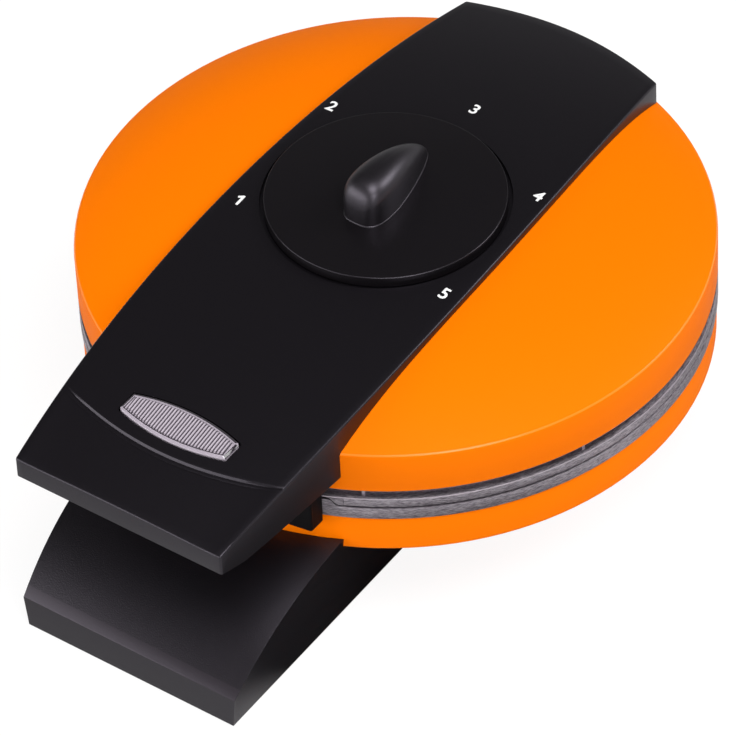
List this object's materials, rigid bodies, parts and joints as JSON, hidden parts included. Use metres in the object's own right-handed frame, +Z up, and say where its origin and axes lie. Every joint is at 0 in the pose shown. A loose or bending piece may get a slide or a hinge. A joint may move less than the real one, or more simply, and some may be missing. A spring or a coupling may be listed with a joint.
{
  "type": "heart waffle maker",
  "caption": "Round heart waffle maker with a hinged lid, cast baking plates, upper and lower front handles, a thermostat dial and a pilot lens.",
  "frame": {"origin": "on the table, under the middle of the bounding box; the round body's axis is 19.3 mm further to +Y", "axes": "+Z up; -Y towards the front, where both handles are; +Y towards the hinge; +X to the right of someone who stands in front and looks at it"},
  "size_m": [0.224, 0.2874, 0.1176],
  "materials": {
    "orange_housing": "moulded heat-resistant thermoset, glossy orange",
    "black_plastic": "moulded thermoset, satin black with a fine grain",
    "cast_plate": "pressure cast, bare at the rim, dark non-stick coat on the baking face",
    "aluminium_sheet": "bright rolled sheet",
    "screw_steel": "zinc plated",
    "hinge_steel": "drawn and plated",
    "heater_steel": "heat-darkened sheath",
    "ceramic_white": "unglazed steatite",
    "fuse_tin": "tinned can",
    "black_rubber": "moulded, matte",
    "clear_lens": "clear moulded lens with a ribbed inner face",
    "lamp_glass": "neon lamp, unlit"
  },
  "bodies": {
    "base": {"stand_band": "black_plastic", "stand_cover": "black_plastic", "cover_screws": "screw_steel", "rubber_feet": "black_rubber", "base_shell": "orange_housing", "lower_plate": "cast_plate", "base_screws": "screw_steel", "lower_heater": "heater_steel", "lower_terminals": "ceramic_white", "lower_reflector": "aluminium_sheet", "lower_reflector_screws": "screw_steel", "terminal_block": "ceramic_white", "cord_gland": "black_rubber", "hinge_ears": "black_plastic", "ear_screws": "screw_steel", "hinge_pin": "hinge_steel", "hinge_caps": "hinge_steel"},
    "lid": {"lid_shell": "orange_housing", "lid_band": "black_plastic", "band_screws": "screw_steel", "handle_undercover": "black_plastic", "undercover_screws": "screw_steel", "handle_block": "black_plastic", "block_screws": "screw_steel", "upper_plate": "cast_plate", "lid_screws": "screw_steel", "upper_heater": "heater_steel", "upper_terminals": "ceramic_white", "upper_reflector": "aluminium_sheet", "upper_reflector_screws": "screw_steel", "thermostat_body": "ceramic_white", "thermostat_bracket": "hinge_steel", "thermostat_screws": "screw_steel", "thermal_fuse": "fuse_tin", "fuse_clip": "hinge_steel", "pilot_lens": "clear_lens", "pilot_lamp": "lamp_glass", "lamp_holder": "black_plastic"},
    "dial": {"dial_disc": "black_plastic", "dial_grip": "black_plastic", "thermostat_shaft": "hinge_steel"}
  },
  "joints": [
    {"name": "lid_hinge", "type": "hinge", "parent": "base", "child": "lid", "pos_m": [0, 0.1373, 0.057], "axis": [-1, 0, 0], "range_deg": [0, 100]},
    {"name": "dial_turn", "type": "hinge", "parent": "lid", "child": "dial", "pos_m": [0, 0.0147, 0.1], "axis": [0, 0, 1], "range_deg": [-122, 122]}
  ]
}
